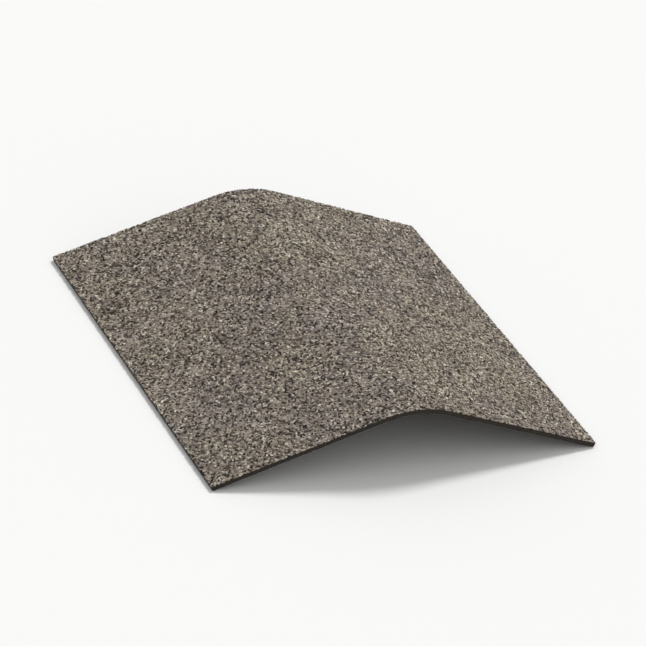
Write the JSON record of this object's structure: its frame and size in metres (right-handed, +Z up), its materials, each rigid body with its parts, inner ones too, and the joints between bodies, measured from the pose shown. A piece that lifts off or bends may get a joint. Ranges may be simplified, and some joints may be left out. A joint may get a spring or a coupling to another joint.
{
  "type": "ridge cap shingle",
  "caption": "Square mineral-surfaced asphalt shingle bent into a shallow rounded fold, to cap the ridge or hip of a roof.",
  "frame": {"origin": "centre of the rectangle that the bent shingle covers, at the level of its two lower wing edges", "axes": "+Y along the fold from the exposed front edge to the covered head end, +X to the right wing, +Z up"},
  "size_m": [0.2922, 0.3048, 0.0481],
  "materials": {
    "mineral_granules": "matte",
    "asphalt_back": "matte"
  },
  "bodies": {
    "root": {"cap_shingle": "mineral_granules"}
  },
  "joints": []
}
